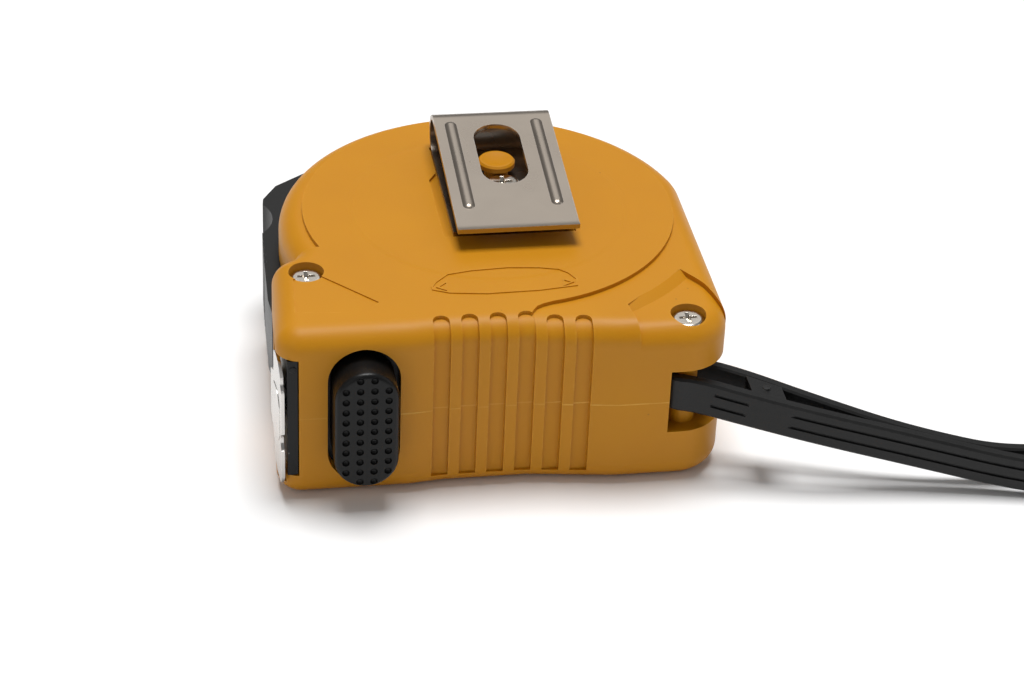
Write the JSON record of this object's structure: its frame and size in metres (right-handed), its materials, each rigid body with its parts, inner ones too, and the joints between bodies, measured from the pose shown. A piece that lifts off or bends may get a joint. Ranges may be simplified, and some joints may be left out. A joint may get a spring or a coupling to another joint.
{
  "type": "pocket tape measure",
  "caption": "Pocket tape measure lying on its side: two-part moulded case, sprung reel, sliding end hook, brake button, thumb lock, belt clip and wrist strap.",
  "frame": {"origin": "on the reel's axis, in the plain side of the case that the tape measure lies on", "axes": "+X from the blade's mouth towards the heel with the strap, +Y from the base towards the crown, +Z from the plain side towards the belt clip"},
  "size_m": [0.1716, 0.0896, 0.0348],
  "materials": {
    "case_plastic": "fine-grained moulded yellow-orange ABS, slightly satin",
    "lock_plastic": "black moulded plastic, fine texture",
    "button_plastic": "black moulded plastic, glossy side wall, dimpled face",
    "guard_rubber": "black bumper with a soft sheen",
    "strap_pvc": "black matt PVC with two long grooves",
    "clip_nickel": "satin nickel-plated spring steel",
    "hook_nickel": "bright nickel-plated steel, pressed",
    "screw_nickel": "bright zinc/nickel plated, cross recess",
    "blade_paint": "yellow lacquered spring steel",
    "spring_steel": "blued spring steel strip",
    "reel_plastic": "natural white moulded plastic",
    "pad_rubber": "dark brake rubber"
  },
  "bodies": {
    "case": {"case_lower": "case_plastic", "case_upper": "case_plastic", "case_screws": "screw_nickel", "clip_screw": "screw_nickel", "belt_clip": "clip_nickel", "mouth_guard": "guard_rubber", "spindle": "reel_plastic", "power_spring": "spring_steel", "brake_springs": "spring_steel"},
    "reel": {"reel_drum": "reel_plastic", "reel_cover": "reel_plastic", "blade_coil": "blade_paint"},
    "blade": {"blade_run": "blade_paint", "hook_rivets": "screw_nickel"},
    "hook": {"end_hook": "hook_nickel"},
    "brake": {"brake_button": "button_plastic", "brake_pad": "pad_rubber"},
    "lock": {"thumb_lock": "lock_plastic"},
    "strap": {"strap_loop": "strap_pvc", "strap_bridge": "strap_pvc"}
  },
  "joints": [
    {"name": "reel_spin", "type": "hinge", "parent": "case", "child": "reel", "pos_m": [0, 0, 0], "axis": [0, 0, 1], "range_deg": [-72, 0], "stiffness_Nm_per_rad": 0.02, "springref_deg": 28.65, "deforming": ["power_spring"]},
    {"name": "blade_pull", "type": "slide", "parent": "case", "child": "blade", "axis": [-0.9962, -0.0872, 0], "range_m": [0, 0.0302]},
    {"name": "hook_play", "type": "slide", "parent": "blade", "child": "hook", "axis": [-0.9962, -0.0872, 0], "range_m": [0, 0.0009]},
    {"name": "brake_press", "type": "slide", "parent": "case", "child": "brake", "axis": [0, 1, 0], "range_m": [0, 0.002], "stiffness_N_per_m": 1500, "springref_m": -0.0005, "deforming": ["brake_springs"]},
    {"name": "lock_slide", "type": "slide", "parent": "case", "child": "lock", "axis": [0, -1, 0], "range_m": [0, 0.005]},
    {"name": "strap_swing", "type": "hinge", "parent": "case", "child": "strap", "pos_m": [0.0248, -0.0307, 0.014], "axis": [0, 0, 1], "range_deg": [-25, 15]}
  ],
  "couplings": [
    {"joint": "blade_pull", "follows": "reel_spin", "m_per_rad": -0.024}
  ]
}
